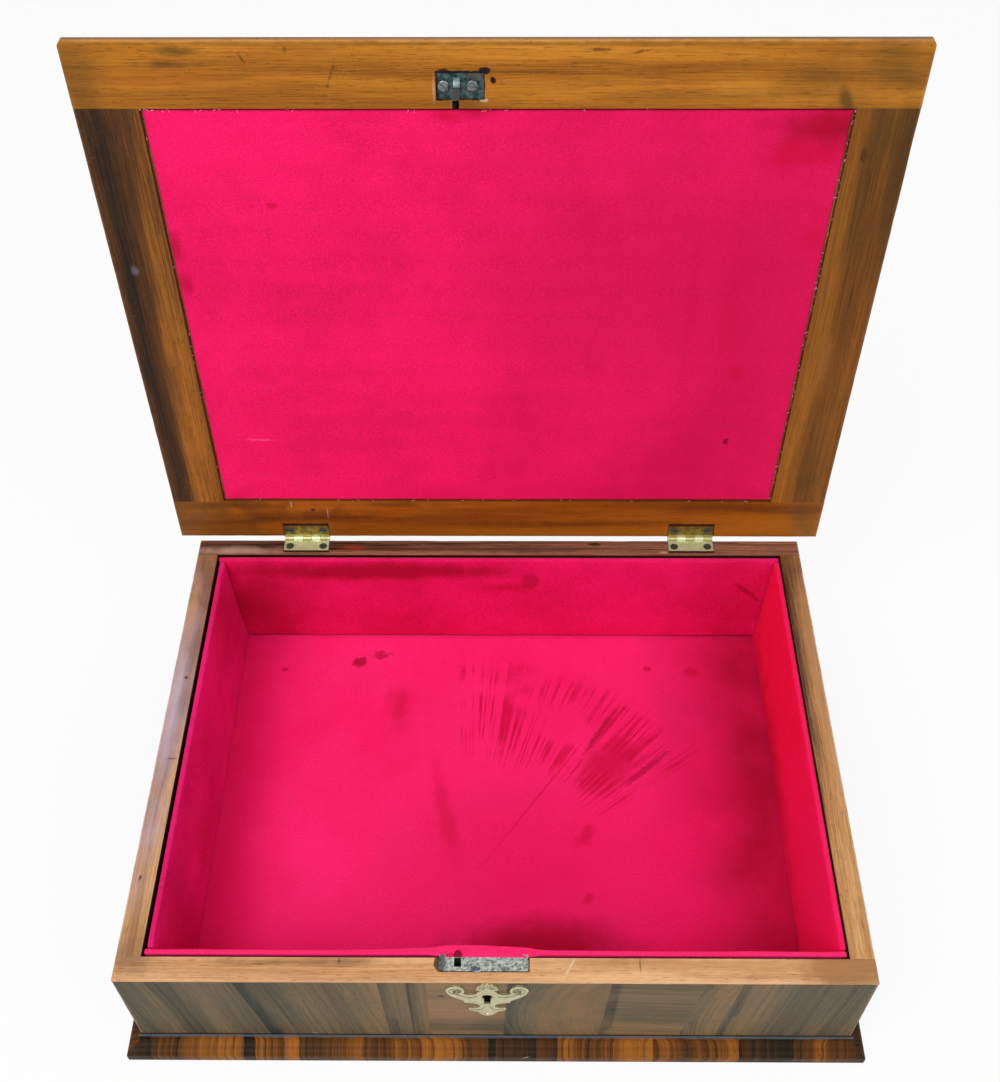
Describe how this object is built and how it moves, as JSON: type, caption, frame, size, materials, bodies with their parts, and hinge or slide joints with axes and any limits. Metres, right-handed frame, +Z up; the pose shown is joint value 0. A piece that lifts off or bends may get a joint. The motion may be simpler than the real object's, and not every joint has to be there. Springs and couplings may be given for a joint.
{
  "type": "writing slope",
  "caption": "Walnut-veneered writing box with a velvet-lined well, a moulded plinth, a box lock and a framed lid on stop hinges.",
  "frame": {"origin": "centre of the case's underside", "axes": "+Z up, +X to the right along the hinge line, +Y towards the hinges, so the lock faces -Y"},
  "size_m": [0.457, 0.3812, 0.4475],
  "materials": {
    "pine": "planed softwood",
    "walnut_dark": "worn polished veneer",
    "walnut_honey": "waxed",
    "walnut_red": "waxed",
    "velvet": "crimson pile",
    "iron": "worn bright iron",
    "blued_steel": "blued and tarnished",
    "brass": "worn, lacquered by hand"
  },
  "bodies": {
    "case": {"front_board": "pine", "back_board": "pine", "left_board": "pine", "right_board": "pine", "bottom_board": "pine", "bottom_nails": "iron", "front_veneer": "walnut_dark", "back_veneer": "walnut_dark", "left_veneer": "walnut_dark", "right_veneer": "walnut_dark", "front_rim": "walnut_honey", "left_rim": "walnut_honey", "right_rim": "walnut_honey", "back_rim": "walnut_red", "plinth_ground_front": "pine", "plinth_ground_left": "pine", "plinth_ground_right": "pine", "plinth_front": "walnut_dark", "plinth_left": "walnut_dark", "plinth_right": "walnut_dark", "floor_pad": "velvet", "lining_front": "velvet", "lining_back": "velvet", "lining_left": "velvet", "lining_right": "velvet", "lock_plate": "iron", "lock_casing": "iron", "drill_pin": "iron", "guide_stud": "iron", "lock_spring": "iron", "lock_screws": "iron", "escutcheon": "brass", "escutcheon_pins": "brass", "left_hinge_case_leaf": "brass", "right_hinge_case_leaf": "brass", "left_hinge_pin": "brass", "right_hinge_pin": "brass", "hinge_case_screws": "iron"},
    "lid": {"lid_back_rail": "walnut_red", "lid_front_rail": "walnut_honey", "lid_left_stile": "walnut_honey", "lid_right_stile": "walnut_honey", "lid_panel": "pine", "lid_top_veneer": "walnut_dark", "lid_velvet_pad": "velvet", "left_hinge_lid_leaf": "brass", "right_hinge_lid_leaf": "brass", "hinge_lid_screws": "iron", "catch_plate": "blued_steel", "catch_tongue": "blued_steel", "catch_screws": "iron"},
    "lock_bolt": {"lock_bolt": "iron"}
  },
  "joints": [
    {"name": "lid_hinge", "type": "hinge", "parent": "case", "child": "lid", "pos_m": [0, 0.17, 0.0954], "axis": [1, 0, 0], "range_deg": [0, 93.5]},
    {"name": "bolt_slide", "type": "slide", "parent": "case", "child": "lock_bolt", "axis": [-1, 0, 0], "range_m": [0, 0.006]}
  ]
}
